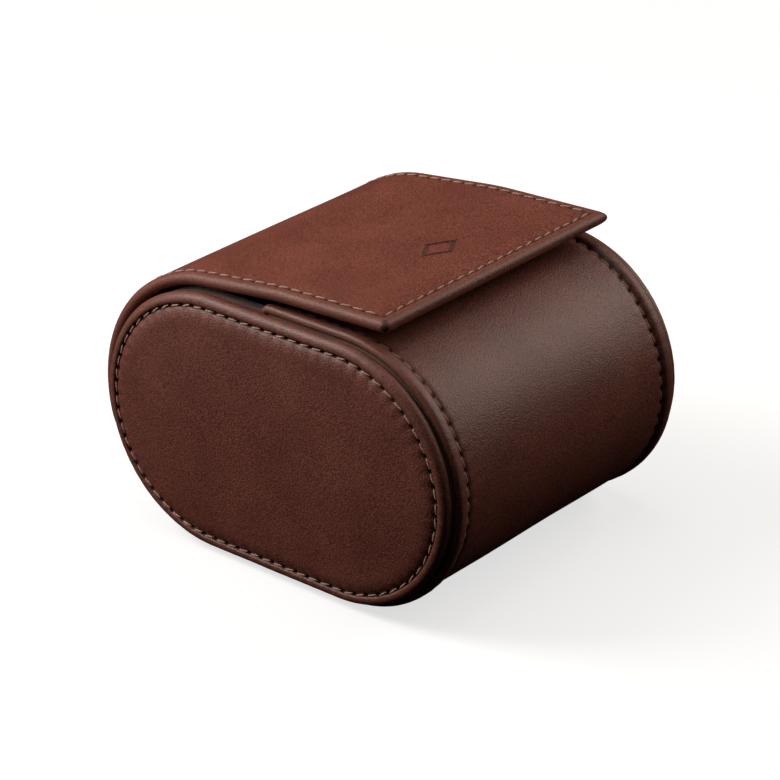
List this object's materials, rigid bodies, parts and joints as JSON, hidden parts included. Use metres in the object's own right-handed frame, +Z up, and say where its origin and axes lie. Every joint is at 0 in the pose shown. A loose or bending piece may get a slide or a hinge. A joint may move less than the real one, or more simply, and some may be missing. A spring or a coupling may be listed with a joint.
{
  "type": "watch travel case",
  "caption": "Oval leather case for a watch, with padded end caps, a wrap-over lid on a leather hinge and a loose cushion inside.",
  "frame": {"origin": "centre of the case's footprint, at the height of the surface that it stands on", "axes": "+X runs along the tube towards the right end cap, the lid's free edge faces -Y, the hinge is at +Y, +Z is up"},
  "size_m": [0.0918, 0.1086, 0.074],
  "materials": {
    "body_leather": "fine-grained matt leather",
    "lid_leather": "fine-grained matt leather, a little redder than the body",
    "thread": "twisted polyester thread",
    "board": "stiff grey board",
    "microfibre": "short-napped microfibre",
    "foam": "soft open-cell foam",
    "snap_metal": "antique brass"
  },
  "bodies": {
    "case": {"outer_wrap": "body_leather", "shell_core": "board", "shell_lining": "microfibre", "left_end_plate": "board", "right_end_plate": "board", "left_end_lining": "microfibre", "right_end_lining": "microfibre", "left_cap_board": "board", "right_cap_board": "board", "left_cap_foam": "foam", "right_cap_foam": "foam", "left_cap_leather": "body_leather", "right_cap_leather": "body_leather", "left_cap_thread": "thread", "right_cap_thread": "thread", "left_wrap_thread": "thread", "right_wrap_thread": "thread", "mouth_thread": "thread", "hinge_leather": "body_leather", "hinge_thread": "thread", "snap_stud": "snap_metal", "stud_rivet": "snap_metal"},
    "lid": {"lid_leather": "lid_leather", "lid_board": "board", "lid_lining": "microfibre", "lid_thread": "thread", "snap_socket": "snap_metal", "socket_rivet": "snap_metal"},
    "cushion": {"cushion_cover": "microfibre", "cushion_foam": "foam", "left_cushion_end": "microfibre", "right_cushion_end": "microfibre"}
  },
  "joints": [
    {"name": "lid_hinge", "type": "hinge", "parent": "case", "child": "lid", "pos_m": [0, 0.05057, 0.02208], "axis": [-1, 0, 0], "range_deg": [0, 120]},
    {"name": "cushion_slide", "type": "slide", "parent": "case", "child": "cushion", "axis": [0, 0.6792, 0.7339], "range_m": [0, 0.0422]}
  ],
  "couplings": [
    {"joint": "cushion_slide", "follows": "lid_hinge", "m_per_rad": 0.020054}
  ]
}
